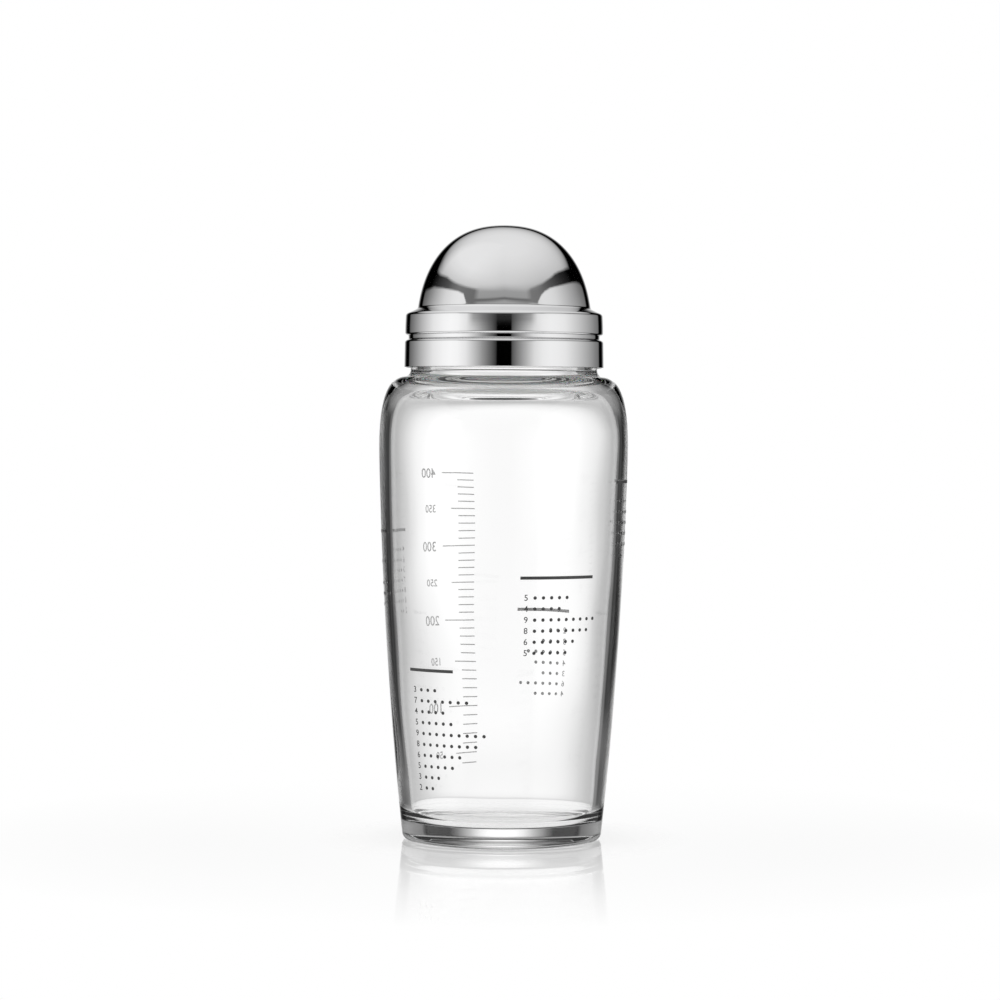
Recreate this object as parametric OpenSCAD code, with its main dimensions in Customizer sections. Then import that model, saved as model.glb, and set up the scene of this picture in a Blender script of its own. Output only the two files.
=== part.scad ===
// Salad dressing shaker bottle: a tapered glass bottle, a screwed pouring collar and a domed push-on cap.
// Millimetres, +Z up, origin at the middle of the foot, on the table.

/* [Glass body] */
// Radius of the side where it would meet the table
base_r = 32.3; // [30:0.1:34]
// Radius of the side where the shoulder begins
shoulder_r = 40.5; // [38:0.1:43]
// Height at which the shoulder begins
shoulder_z = 120; // [110:1:124]
// Height of the top of the shoulder
shoulder_top = 150.6; // [148:0.1:156]
// How square the shoulder's curve is: 2 is an ellipse
shoulder_power = 3; // [2.5:0.1:3.5]
// Radius of the bow of the side
side_bow = 1500; // [1300:10:2400]
// Thickness of the glass side
wall = 3.7; // [3:0.1:4.5]
// Thickness of the glass floor at its edge
floor_t = 6.4; // [4.5:0.1:8]
// How far the middle of the floor rises inside
floor_crown = 1; // [0.4:0.1:2]
// Radius of the corner between the floor and the side, inside
floor_fillet = 5; // [2:0.1:8]
// Radius of the heel's rounding
heel_round = 2; // [1:0.1:2.5]
// How far the flat ring that the bottle stands on reaches in from the edge of the side
foot_w = 5.3; // [4:0.1:8]
// Height of the hollow under the bottle
punt_h = 1.6; // [0.6:0.1:2.5]

/* [Glass neck] */
// How far the bead between the shoulder and the collar stands out from the neck
bead_w = 3; // [2:0.1:3.6]
// Height of the bead's top over the shoulder
bead_h = 3.2; // [3:0.1:3.4]
// Radius of the hollow between the shoulder and the bead
bead_fillet = 2.2; // [1:0.1:2.3]
// Outer radius of the neck under its thread
neck_r = 27.5; // [25:0.1:30]
// Thickness of the neck's wall
neck_wall = 3.5; // [2.8:0.1:4.4]
// Radius of the rim's rounded edges
rim_round = 0.8; // [0.3:0.1:1]
// Radius where the shoulder turns up into the mouth, inside
throat_round = 4; // [2:0.1:5]

/* [Thread] */
// Rise of the thread in one turn
thread_lead = 5; // [4.6:0.1:5.4]
// Turns of the thread on the neck
thread_turns = 1.25; // [1:0.05:1.3]
// How far the thread stands out from the neck
thread_depth = 1.2; // [0.8:0.1:1.3]
// Width of a thread where it leaves the wall
thread_root_w = 2.8; // [2.4:0.1:3]
// Width of a thread at its crest
thread_crest_w = 1.1; // [0.8:0.1:1.4]
// Gap between the two threads and between each crest and the wall it faces
thread_gap = 0.25; // [0.15:0.05:0.35]

/* [Collar] */
// Thickness of the drawn steel of the collar and the cap
sheet_t = 0.5; // [0.4:0.1:0.7]
// Height of the collar's band
band_h = 9; // [8:0.1:11]
// How much the band narrows from its lower edge to its top
band_draft = 0.15; // [0:0.05:0.25]
// Radius of the band's rounded top
band_round = 1; // [0.7:0.1:1.2]
// How far the spigot that the cap slides on lies inside the band
step_w = 1.2; // [1:0.05:1.5]
// Height of the spigot over the band
spigot_h = 7.65; // [7:0.05:9]
// Radius of the edge of the spigot's top
spigot_round = 0.8; // [0.7:0.1:1]
// Width of the steel lip on top of the spigot
spigot_lip_w = 2.64; // [2.2:0.02:4]
// Thickness of the plastic core round the neck
core_wall = 2.9; // [2.4:0.1:4]
// Thickness of the deck of the plastic core
deck_t = 1.45; // [1:0.05:1.6]
// How far the deck laps over the spout's flange
deck_lap = 5.85; // [4:0.05:7]
// How far the plastic core stays inside the lower edge of the steel
core_recess = 0.8; // [0.5:0.1:1.2]
// Gap between the bead of the glass and the plastic core
bead_gap = 0.5; // [0.3:0.1:1]
// Gap between the plastic core and the steel around it
core_gap = 0.1; // [0.05:0.05:0.2]

/* [Gasket] */
// Thickness of the gasket
gasket_t = 1; // [0.6:0.1:1.5]
// How far the gasket lies outside the mouth
gasket_inset = 0.6; // [0.4:0.1:1]

/* [Spout] */
// Thickness of the spout's flange
flange_t = 1.2; // [0.8:0.1:1.6]
// Depth of the skirt that hangs in the mouth
spout_skirt_h = 3.4; // [2:0.1:5]
// Gap between the skirt and the mouth
spout_skirt_gap = 0.4; // [0.2:0.1:0.6]
// Thickness of the spout's wall
spout_wall = 1.5; // [1:0.1:1.8]
// Outer radius of the spout's tube
spout_r = 12; // [10:0.1:12.6]
// Height of the cone at the foot of the tube
spout_cone_h = 5.8; // [5:0.1:7]
// Height of the spout's lip over the flange
spout_h = 14.3; // [13:0.1:15]
// Rounding between the spout's cone and its tube
cone_round = 4; // [2:0.5:5]
// How far the drip lip stands out from the tube
lip_w = 1.8; // [1:0.1:2.2]

/* [Cap] */
// How far the cap's band hangs below the seat
cap_drop = 6.2; // [5.6:0.05:6.6]
// Height of the top of the cap's band over the seat
cap_corner_rise = 0.75; // [0.7:0.05:1]
// Height of the part of the cap's band that leans in, under its top
cap_lean_h = 4; // [3:0.1:4.5]
// How far that part leans in
cap_lean = 0.2; // [0.05:0.05:0.3]
// Rounding of the top of the cap's band
cap_round = 1.2; // [0.8:0.1:1.4]
// Height of the dome's foot over the seat
dome_foot_rise = 2.6; // [2.5:0.1:3.2]
// Gap between the cap's hem and the spigot
hem_gap = 0.08; // [0.05:0.01:0.1]
// Gap inside the folded hem
hem_fold = 0.03; // [0.01:0.01:0.2]
// Height of the folded hem
hem_h = 4.4; // [3:0.1:4.8]
// How far the widest ring of the dome's curve lies inside the spigot
dome_step = 2.45; // [1.6:0.05:3]
// Depth of the centre of the dome's curve below the seat
dome_centre_drop = 6.95; // [6:0.05:8]
// Height of the dome over the centre of its curve
dome_rise = 36.8; // [35:0.1:40]
// How square the dome's curve is: 2 is an ellipse
dome_power = 2.34; // [2.2:0.02:2.6]

/* [Cap liner and stopper] */
// Thickness of the liner
liner_t = 1.1; // [0.9:0.05:1.2]
// How much the bell narrows from its mouth to its crown
bell_taper = 5.4; // [4.6:0.1:6.2]
// Rounding of the bell's crown, inside
bell_round = 2; // [1:0.5:3]
// How far the liner's ring stands up in the dome
ring_h = 1.6; // [1:0.1:3]
// Thickness of the stopper's disc
stopper_t = 1.8; // [1.2:0.1:2.4]
// Depth of the stopper's plug in the spout
plug_h = 3; // [2:0.1:4]
// Thickness of the plug's wall
plug_wall = 1.7; // [1:0.1:2.2]
// Gap between the plug and the spout
plug_gap = 0.2; // [0.1:0.05:0.3]
// Radius of the stopper's stem
stem_r = 4.1; // [3:0.1:5]
// Gap between the stem and its hole
stem_gap = 0.1; // [0.05:0.05:0.2]
// How far the stem's head stands out over the liner
stem_head_w = 1.4; // [1:0.1:2]
// Height of the stem's head
stem_head_h = 1.6; // [1:0.1:2.4]

/* [Hidden] */
$fn = 96;

// Steps of the computed curves
corner_step = 15;
side_steps = 12;
shoulder_steps = 14;
dome_steps = 20;
bow_steps = 6;
thread_steps = 56;

// Small roundings: moulded and rubber edges, the bead, the inside of a bend in the sheet, the spout's lip,
// the bend to the leaning part of the cap's band, and the shares of the folded hem's width that round it
// inside and outside
edge_round = 0.3;
bead_round = 0.5;
sheet_bend = 0.4;
lip_round = 1.2;
lean_round = 60;
hem_in_share = 0.24;
hem_out_share = 0.7;

// The stack of the closure: up the outside from the bead to the seat, and down the inside to the glass rim
bead_z = shoulder_top + bead_h;
core_z = bead_z + bead_gap;
band_z = core_z - core_recess;
band_top_z = band_z + band_h;
seat_z = band_top_z + spigot_h;
deck_top_z = seat_z - sheet_t;
deck_z = deck_top_z - deck_t;
flange_z = deck_z - flange_t;
rim_z = flange_z - gasket_t;
spout_top_z = deck_z + spout_h;
crown_z = spout_top_z + stopper_t;

// Radii of the glass
foot_in_r = base_r - foot_w;
bore_r = neck_r - neck_wall;
bead_r = neck_r + bead_w;
thread_crest_r = neck_r + thread_depth;

// Radii of the closure, from the thread outwards, and the small gap where a piece seats loosely
seat_gap = 0.3;
core_crest_r = neck_r + thread_gap;
core_bore_r = thread_crest_r + thread_gap;
core_pocket_r = core_bore_r - thread_depth / 2;
flange_r = core_pocket_r - seat_gap;
core_r = core_bore_r + core_wall;
band_top_r = core_r + core_gap + sheet_t;
spigot_r = band_top_r - step_w;
spigot_in_r = spigot_r - sheet_t;
hem_r = spigot_r + hem_gap;
cap_band_r = hem_r + 2 * sheet_t + hem_fold;
dome_r = spigot_r - dome_step;

// Radii of what the dressing passes
deck_hole_r = flange_r - deck_lap;
spout_in_r = spout_r - spout_wall;
bell_mouth_r = deck_hole_r;
bell_crown_r = bell_mouth_r - bell_taper;

// The threads: the glass one ends a little below the rim, the plastic one lies under it
thread_plain = 1;
thread_embed = 0.5;
thread_edge = 0.4;
core_turns = 1;
thread_z = rim_z - thread_plain - thread_root_w / 2 - thread_turns * thread_lead;
core_thread_z = thread_z - (thread_root_w + thread_crest_w) / 2 - thread_gap;
core_thread_start = 360 * (core_z + thread_edge + thread_root_w / 2 - core_thread_z) / thread_lead;

// Colours
glass_grey = [0.86, 0.9, 0.9, 0.35];
steel_grey = [0.75, 0.76, 0.77];
plastic_white = [0.93, 0.93, 0.91];
silicone_grey = [0.8, 0.82, 0.83];

// Vectors and lists
function unit(v) = v / norm(v);
function flat(q) = [q[0], q[1]];
function left(v) = [-v[1], v[0]];
function turned(v, a) = v * cos(a) + left(v) * sin(a);
function reversed(list) = [for (i = [len(list) - 1:-1:0]) list[i]];

// The arc of radius r that rounds the corner b between a and c
function corner(a, b, c, r) =
    let (
        u = unit(a - b),
        v = unit(c - b),
        half = acos(u * v) / 2,
        hub = b + unit(u + v) * r / sin(half),
        spoke = b + u * r / tan(half) - hub,
        sweep = (180 - 2 * half) * sign(cross(b - a, c - b)),
        steps = ceil(abs(sweep) / corner_step)
    )
    [for (i = [0:steps]) hub + turned(spoke, sweep * i / steps)];

// An outline of [r, z] points and of [r, z, rounding] points, with these corners rounded
function soft(path) =
    let (n = len(path))
    [for (i = [0:n - 1])
        each (len(path[i]) < 3
            ? [path[i]]
            : corner(flat(path[(i + n - 1) % n]), flat(path[i]), flat(path[(i + 1) % n]), path[i][2]))];

// An open outline moved to its left by t, with its roundings kept parallel
function inset(path, t) =
    let (n = len(path))
    [for (i = [0:n - 1])
        let (
            b = flat(path[i]),
            a = i > 0 ? flat(path[i - 1]) : 2 * b - flat(path[i + 1]),
            c = i < n - 1 ? flat(path[i + 1]) : b[0] == 0 ? [-a[0], a[1]] : 2 * b - a,
            u = unit(b - a),
            v = unit(c - b),
            q = b + (left(u) + left(v)) * t / (1 + u * v)
        )
        len(path[i]) < 3 ? q : [q[0], q[1], cross(u, v) > 0 ? max(path[i][2] - t, t / 4) : path[i][2] + t]];

// A sheet of thickness t, spun round the axis, whose outer face is the outline
module spun_sheet(outline, t) {
    rotate_extrude() polygon(concat(soft(outline), reversed(soft(inset(outline, t)))));
}

// A shallow bow from the axis out to the point [r, z], h high in the middle
function bow(r, z, h) = [for (i = [0:bow_steps]) [r * i / bow_steps, z + h * (1 - pow(i / bow_steps, 2))]];

// The side of the glass: a circle of radius side_bow through the table edge and the shoulder's beginning
side_chord = [shoulder_r - base_r, shoulder_z];
side_hub = [base_r, 0] + side_chord / 2
    + left(unit(side_chord)) * sqrt(pow(side_bow, 2) - pow(norm(side_chord) / 2, 2));
function side_r(z) = side_hub[0] + sqrt(pow(side_bow, 2) - pow(z - side_hub[1], 2));

// The side from the height z up to the shoulder, as the face that lies t inside the outer one
function side(z, t) =
    [for (i = [0:side_steps]) let (zi = z + (shoulder_z - z) * i / side_steps) [side_r(zi) - t, zi]];

// The shoulder of the same face, which closes towards the radius end_r
function shoulder(end_r, t) =
    [for (i = [1:shoulder_steps - 1])
        let (
            a = 90 * i / shoulder_steps,
            z = shoulder_z + (shoulder_top - t - shoulder_z) * pow(sin(a), 2 / shoulder_power)
        )
        [end_r + (side_r(z) - t - end_r) * pow(cos(a), 2 / shoulder_power), z]];

// The dome's curve: its radius at a height over the seat, and its points from the foot to the top
function dome_radius(rise) =
    dome_r * pow(1 - pow((rise + dome_centre_drop) / dome_rise, dome_power), 1 / dome_power);
dome_foot_r = dome_radius(dome_foot_rise);
dome_start = asin(pow((dome_foot_rise + dome_centre_drop) / dome_rise, dome_power / 2));
function dome() =
    [for (i = [0:dome_steps])
        let (a = dome_start + (90 - dome_start) * i / dome_steps)
        [i < dome_steps ? dome_r * pow(cos(a), 2 / dome_power) : 0,
         seat_z - dome_centre_drop + dome_rise * pow(sin(a), 2 / dome_power)]];

// One thread: a ridge from the wall to the crest, which sinks into the wall at both ends
module ridge(wall_r, crest_r, z, start, turns) {
    out = sign(crest_r - wall_r);
    steps = ceil(turns * thread_steps);
    fade_steps = thread_steps / 10;
    root_r = wall_r - out * thread_embed;
    sunk_r = wall_r - out * thread_embed / 2;
    root_w = thread_root_w + (thread_root_w - thread_crest_w) * thread_embed / thread_depth;
    function ring(i) =
        let (
            a = start + 360 * turns * i / steps,
            top_r = sunk_r + (crest_r - sunk_r) * min(1, min(i, steps - i) / fade_steps),
            section = [[root_r, -root_w], [top_r, -thread_crest_w], [top_r, thread_crest_w], [root_r, root_w]]
        )
        [for (q = section) [q[0] * cos(a), q[0] * sin(a), z + thread_lead * a / 360 + q[1] / 2]];
    last = 4 * steps;
    faces = concat(
        [[2, 1, 0], [3, 2, 0]],
        [for (i = [0:steps - 1], j = [0:3])
            let (a = 4 * i + j, b = 4 * i + (j + 1) % 4)
            each [[b + 4, a + 4, a], [b, b + 4, a]]],
        [[last + 1, last + 2, last], [last + 2, last + 3, last]]
    );
    polyhedron([for (i = [0:steps]) each ring(i)], out > 0 ? faces : [for (f = faces) reversed(f)]);
}

// Heel, side, shoulder, bead, neck and rim outside, then throat, shoulder, side and floor inside
module glass_bottle() {
    past_corner = 1.2;
    throat_z = shoulder_top - wall;
    outside = concat(
        bow(foot_in_r, 0, punt_h),
        [[side_r(0), 0, heel_round]],
        side(past_corner * heel_round, 0),
        [for (q = shoulder(bead_r, 0)) if (q[0] > bead_r + past_corner * bead_fillet) q],
        [[bead_r, shoulder_top, bead_fillet], [bead_r, bead_z, bead_round], [neck_r, bead_z]],
        [[neck_r, rim_z, rim_round], [bore_r, rim_z, rim_round]]
    );
    inside = concat(
        bow(foot_in_r - floor_fillet, floor_t, floor_crown),
        [[side_r(floor_t) - wall, floor_t, floor_fillet]],
        side(floor_t + past_corner * floor_fillet, wall),
        shoulder(bore_r + throat_round, wall),
        [[bore_r, throat_z, throat_round]]
    );
    color(glass_grey) union() {
        rotate_extrude() polygon(soft(concat(outside, reversed(inside))));
        ridge(neck_r, thread_crest_r, thread_z, 0, thread_turns);
    }
}

// The flat ring between the glass rim and the spout's flange
module neck_gasket() {
    in_r = bore_r + gasket_inset;
    out_r = neck_r - seat_gap;
    gasket_round = gasket_t / 5;
    color(silicone_grey) rotate_extrude() polygon(soft([
        [in_r, rim_z, gasket_round],
        [out_r, rim_z, gasket_round],
        [out_r, flange_z, gasket_round],
        [in_r, flange_z, gasket_round]
    ]));
}

// The skirt in the mouth, the flange on the gasket, the cone, the tube and the drip lip
module pour_spout() {
    skirt_r = bore_r - spout_skirt_gap;
    skirt_z = flange_z - spout_skirt_h;
    cone_r = deck_hole_r - 4 * seat_gap;
    cone_z = deck_z + spout_cone_h;
    lip_z = spout_top_z - lip_w;
    color(plastic_white) rotate_extrude() polygon(soft([
        [skirt_r, skirt_z, edge_round],
        [skirt_r, flange_z],
        [flange_r, flange_z, edge_round],
        [flange_r, deck_z, edge_round],
        [cone_r, deck_z, edge_round],
        [spout_r, cone_z, cone_round],
        [spout_r, lip_z, lip_round],
        [spout_r + lip_w, spout_top_z, edge_round],
        [spout_r + lip_w / 4, spout_top_z, edge_round],
        [spout_in_r, lip_z, lip_round],
        [spout_in_r, cone_z - spout_wall, cone_round],
        [cone_r - spout_wall, deck_z - spout_wall, cone_round / 2],
        [skirt_r - spout_wall, flange_z - spout_wall, spout_wall / 2],
        [skirt_r - spout_wall, skirt_z, edge_round]
    ]));
}

// The moulded ring inside the collar: threaded bore, pocket for the flange, and deck
module collar_core() {
    pocket_z = rim_z - thread_plain + seat_gap;
    step_z = band_top_z - sheet_t - core_gap;
    high_r = spigot_in_r - core_gap;
    color(plastic_white) union() {
        rotate_extrude() polygon(soft([
            [core_bore_r, core_z, edge_round],
            [core_r, core_z, edge_round],
            [core_r, step_z, sheet_bend],
            [high_r, step_z, sheet_bend + sheet_t + core_gap],
            [high_r, deck_top_z, spigot_round],
            [deck_hole_r, deck_top_z, edge_round],
            [deck_hole_r, deck_z, edge_round],
            [core_pocket_r, deck_z],
            [core_pocket_r, pocket_z],
            [core_bore_r, pocket_z]
        ]));
        ridge(core_bore_r, core_crest_r, core_thread_z, core_thread_start, core_turns);
    }
}

// The drawn steel of the collar: a cut lower edge, the band, the step and the spigot with its lip
module collar_shell() {
    color(steel_grey) spun_sheet([
        [band_top_r + band_draft, band_z],
        [band_top_r, band_top_z, band_round],
        [spigot_r, band_top_z, sheet_bend],
        [spigot_r, seat_z, spigot_round],
        [spigot_r - spigot_lip_w, seat_z]
    ], sheet_t);
}

// The drawn steel of the cap: the hem that slides on the spigot, the band, the sloping shoulder and the dome
module cap_shell() {
    hem_z = seat_z - cap_drop;
    hem_top_z = hem_z + hem_h;
    hem_w = cap_band_r - hem_r;
    corner_z = seat_z + cap_corner_rise;
    lean_z = corner_z - cap_lean_h;
    lean_r = cap_band_r - cap_lean;
    hem_top_r = cap_band_r - cap_lean * (hem_top_z - lean_z) / cap_lean_h;
    hem = [
        [hem_r, hem_top_z],
        [hem_r, hem_z, hem_in_share * hem_w],
        [cap_band_r, hem_z, hem_out_share * hem_w],
        [cap_band_r, lean_z, lean_round]
    ];
    top = concat([[lean_r, corner_z, cap_round]], dome());
    inside = inset(concat([[hem_top_r, hem_top_z]], top), sheet_t);
    color(steel_grey) rotate_extrude() polygon(soft(concat(hem, top, reversed(inside))));
}

// The bell that lands on the collar, centres itself in the dome's foot and carries the stopper
module cap_liner() {
    flange_top_z = seat_z + liner_t;
    slope = (dome_foot_rise - cap_corner_rise) / (cap_band_r - cap_lean - dome_foot_r);
    sheet_rise = sheet_t * sqrt(1 + slope * slope) + seat_gap / 2;
    out_r = dome_foot_r + (dome_foot_rise - liner_t - sheet_rise) / slope;
    ring_rise = dome_foot_rise + ring_h;
    ring_r = dome_radius(ring_rise) - sheet_t - seat_gap;
    hole_r = stem_r + stem_gap;
    color(plastic_white) rotate_extrude() polygon(soft([
        [bell_mouth_r, seat_z, edge_round],
        [out_r, seat_z, edge_round],
        [out_r, flange_top_z, edge_round],
        [ring_r, flange_top_z],
        [ring_r, seat_z + ring_rise, edge_round],
        [ring_r - liner_t, seat_z + ring_rise, edge_round],
        [ring_r - liner_t, flange_top_z, edge_round],
        [bell_mouth_r + liner_t, flange_top_z, edge_round],
        [bell_crown_r + liner_t, crown_z + liner_t, bell_round + liner_t],
        [hole_r, crown_z + liner_t],
        [hole_r, crown_z],
        [bell_crown_r, crown_z, bell_round]
    ]));
}

// The plug in the spout, the disc on the lip, and the stem with its head over the liner
module cap_stopper() {
    disc_r = spout_r + lip_w;
    plug_r = spout_in_r - plug_gap;
    plug_z = spout_top_z - plug_h;
    head_z = crown_z + liner_t;
    color(silicone_grey) rotate_extrude() polygon(soft([
        [0, spout_top_z],
        [plug_r - plug_wall, spout_top_z, edge_round],
        [plug_r - plug_wall, plug_z, edge_round],
        [plug_r, plug_z, 2 * edge_round],
        [plug_r, spout_top_z],
        [disc_r, spout_top_z, edge_round],
        [disc_r, crown_z, edge_round],
        [stem_r, crown_z],
        [stem_r, head_z],
        [stem_r + stem_head_w, head_z, edge_round],
        [stem_r + stem_head_w / 2, head_z + stem_head_h, 2 * edge_round],
        [0, head_z + stem_head_h]
    ]));
}

glass_bottle();
neck_gasket();
pour_spout();
collar_core();
collar_shell();
cap_shell();
cap_liner();
cap_stopper();
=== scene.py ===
"""A salad dressing shaker: glass bottle, screwed pouring collar and domed cap, photographed on a pale table."""
from __future__ import annotations

import logging
import math
from collections.abc import Callable, Mapping, Sequence
from dataclasses import dataclass, field
from enum import Enum
from typing import Any

import bmesh
import bpy
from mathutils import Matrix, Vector, noise


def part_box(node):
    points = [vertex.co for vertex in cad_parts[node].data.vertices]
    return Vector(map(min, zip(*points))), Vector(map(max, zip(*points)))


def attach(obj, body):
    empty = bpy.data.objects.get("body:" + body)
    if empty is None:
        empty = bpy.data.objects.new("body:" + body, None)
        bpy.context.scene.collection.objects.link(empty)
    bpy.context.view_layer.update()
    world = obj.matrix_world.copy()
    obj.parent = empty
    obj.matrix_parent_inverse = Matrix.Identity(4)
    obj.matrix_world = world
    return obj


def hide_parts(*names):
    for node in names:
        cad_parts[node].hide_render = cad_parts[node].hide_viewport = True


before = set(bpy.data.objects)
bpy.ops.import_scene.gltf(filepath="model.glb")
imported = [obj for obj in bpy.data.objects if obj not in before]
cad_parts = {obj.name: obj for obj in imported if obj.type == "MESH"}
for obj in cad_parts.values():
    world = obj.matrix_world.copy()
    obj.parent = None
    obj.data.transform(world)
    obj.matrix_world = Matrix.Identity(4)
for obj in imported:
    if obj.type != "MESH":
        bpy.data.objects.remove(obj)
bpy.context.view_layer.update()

LOG = logging.getLogger("shaker")
MM = 0.001
Grey = float
Stops = Sequence[tuple[float, float]]


class Body(Enum):
    """The moving bodies of the shaker."""

    BOTTLE = "bottle"
    POURER = "pourer"
    COLLAR = "collar"
    CAP = "cap"


class Slot(Enum):
    """The names of the finishes' slots."""

    GLASS = "glass"
    STEEL = "polished_steel"
    PLASTIC = "white_plastic"
    SILICONE = "silicone"


# outlines


@dataclass(frozen=True)
class Corner:
    """A corner of an outline: millimetres from the axis, millimetres over the table, and the radius of its rounding."""

    r: float
    z: float
    rounding: float = 0.0

    @property
    def point(self) -> Vector:
        """The corner as a flat vector."""
        return Vector((self.r, self.z))


def left_of(v: Vector) -> Vector:
    """The flat vector a quarter turn to the left of v."""
    return Vector((-v.y, v.x))


def arc_at(a: Vector, b: Vector, c: Vector, radius: float, step: float = math.radians(9)) -> list[Vector]:
    """Rounds the corner b between a and c.

    Args:
        a: The corner before.
        b: The corner to round.
        c: The corner after.
        radius: The radius of the rounding.
        step: The largest turn between two points of the arc.

    Returns:
        The points of the arc.
    """
    u, v = (a - b).normalized(), (c - b).normalized()
    half = math.acos(max(-1.0, min(1.0, u.dot(v)))) / 2
    if half > math.radians(89.5):
        return [b]
    hub = b + (u + v).normalized() * radius / math.sin(half)
    spoke = b + u * radius / math.tan(half) - hub
    turn = math.copysign(math.pi - 2 * half, (b - a).cross(c - b))
    steps = max(2, math.ceil(abs(turn) / step))
    sweep = [turn * i / steps for i in range(steps + 1)]
    return [hub + spoke * math.cos(t) + left_of(spoke) * math.sin(t) for t in sweep]


def rounded(corners: Sequence[Corner]) -> list[Vector]:
    """Draws a closed outline with its corners rounded.

    Args:
        corners: The corners in order.

    Returns:
        The points of the outline, with a point held close to both ends of each long straight.
    """
    count = len(corners)
    drawn: list[Vector] = []
    for i, b in enumerate(corners):
        if b.rounding > 0:
            drawn += arc_at(corners[i - 1].point, b.point, corners[(i + 1) % count].point, b.rounding)
        else:
            drawn.append(b.point)
    return held(drawn)


def held(points: Sequence[Vector], reach: float = 0.12) -> list[Vector]:
    """Keeps the straights of a closed outline flat under smooth shading, where they meet a rounding.

    Args:
        points: The points of the outline.
        reach: How far from the rounding the extra point of a straight stands.

    Returns:
        The points with the extra ones.
    """
    count = len(points)
    lengths = [(points[(i + 1) % count] - points[i]).length for i in range(count)]
    kept: list[Vector] = []
    for i, a in enumerate(points):
        b = points[(i + 1) % count]
        along = (b - a).normalized()
        kept.append(a)
        if lengths[i] < 4 * reach or a.x < 1e-6 and b.x < 1e-6:
            continue
        if lengths[i - 1] < 0.4 * lengths[i]:
            kept.append(a + along * reach)
        if lengths[(i + 1) % count] < 0.4 * lengths[i]:
            kept.append(b - along * reach)
    return kept


def inner_face(corners: Sequence[Corner], thickness: float) -> list[Corner]:
    """Moves an open outline to its left by the thickness of a sheet, with its roundings kept parallel.

    Args:
        corners: The corners of the outer face.
        thickness: The thickness of the sheet.

    Returns:
        The corners of the inner face.
    """
    moved = []
    for i, corner in enumerate(corners):
        b = corner.point
        a = corners[i - 1].point if i else 2 * b - corners[1].point
        if i < len(corners) - 1:
            c = corners[i + 1].point
        else:
            c = Vector((-a.x, a.y)) if b.x < 1e-9 else 2 * b - a
        u, v = (b - a).normalized(), (c - b).normalized()
        q = b + (left_of(u) + left_of(v)) * thickness / (1 + u.dot(v))
        turns_left = u.cross(v) > 0
        bend = max(corner.rounding - thickness, thickness / 4) if turns_left else corner.rounding + thickness
        moved.append(Corner(max(q.x, 0.0), q.y, bend if corner.rounding > 0 else 0.0))
    return moved


def sheet_ring(corners: Sequence[Corner], thickness: float, edge: float = 0.12) -> list[Corner]:
    """Closes a sheet's outer and inner faces into one outline, with its cut edges broken.

    Args:
        corners: The corners of the outer face, from one cut edge to the other.
        thickness: The thickness of the sheet.
        edge: The radius at the cut edges.

    Returns:
        The corners of the closed outline.
    """
    def cut(face: list[Corner]) -> list[Corner]:
        """The same face with its two end corners broken."""
        ends = {0, len(face) - 1}
        return [Corner(c.r, c.z, edge) if i in ends and c.r > 0 else c for i, c in enumerate(face)]

    return cut(list(corners)) + cut(inner_face(corners, thickness))[::-1]


def bow(r: float, z: float, rise: float, steps: int = 14) -> list[Corner]:
    """A shallow bow from the axis out to the point r, z that rises in the middle."""
    return [Corner(r * i / steps, z + rise * (1 - (i / steps) ** 2)) for i in range(steps + 1)]


# modelling


def deselect() -> None:
    """Leaves nothing selected, in object mode."""
    if bpy.context.object and bpy.context.object.mode != "OBJECT":
        bpy.ops.object.mode_set(mode="OBJECT")
    bpy.ops.object.select_all(action="DESELECT")


def pick(piece: bpy.types.Object) -> None:
    """Selects this piece alone and makes it the active one."""
    deselect()
    piece.select_set(True)
    bpy.context.view_layer.objects.active = piece


def name_it(piece: bpy.types.Object, name: str) -> bpy.types.Object:
    """Names a piece and its mesh, and gives the piece back."""
    piece.name = piece.data.name = name
    return piece


def turned(name: str, outline: Sequence[Vector], steps: int = 256) -> bpy.types.Object:
    """Turns an outline round the axis into a closed solid.

    Args:
        name: The name of the piece.
        outline: The points in millimetres, radius and height, closed unless both ends lie on the axis.
        steps: The steps round the axis.

    Returns:
        The piece.
    """
    deselect()
    bpy.ops.mesh.primitive_plane_add(size=MM, location=(0, 0, 0))
    piece = name_it(bpy.context.object, name)
    bpy.ops.object.mode_set(mode="EDIT")
    bpy.ops.mesh.select_all(action="SELECT")
    bpy.ops.mesh.merge(type="CENTER")
    bpy.ops.transform.translate(value=(outline[0].x * MM, 0, outline[0].y * MM))
    for a, b in zip(outline, outline[1:]):
        step = ((b.x - a.x) * MM, 0, (b.y - a.y) * MM)
        bpy.ops.mesh.extrude_region_move(TRANSFORM_OT_translate={"value": step})
    if outline[0].x > 1e-6 or outline[-1].x > 1e-6:
        mesh = bmesh.from_edit_mesh(piece.data)
        mesh.verts.ensure_lookup_table()
        for v in mesh.verts:
            v.select_set(v.index in (0, len(mesh.verts) - 1))
        mesh.select_flush_mode()
        bmesh.update_edit_mesh(piece.data)
        bpy.ops.mesh.edge_face_add()
    bpy.ops.mesh.select_all(action="SELECT")
    bpy.ops.mesh.spin(steps=steps, angle=2 * math.pi, center=(0, 0, 0), axis=(0, 0, 1))
    bpy.ops.mesh.select_all(action="SELECT")
    bpy.ops.mesh.remove_doubles(threshold=1e-6)
    bpy.ops.mesh.normals_make_consistent(inside=False)
    bpy.ops.object.mode_set(mode="OBJECT")
    return piece


def press(piece: bpy.types.Object, move: Callable[[Vector], Vector]) -> None:
    """Moves each point of a piece's mesh.

    Args:
        piece: The piece.
        move: Gives a point's new place in millimetres for its place in millimetres.
    """
    for v in piece.data.vertices:
        v.co = move(v.co / MM) * MM
    piece.data.update()


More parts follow.
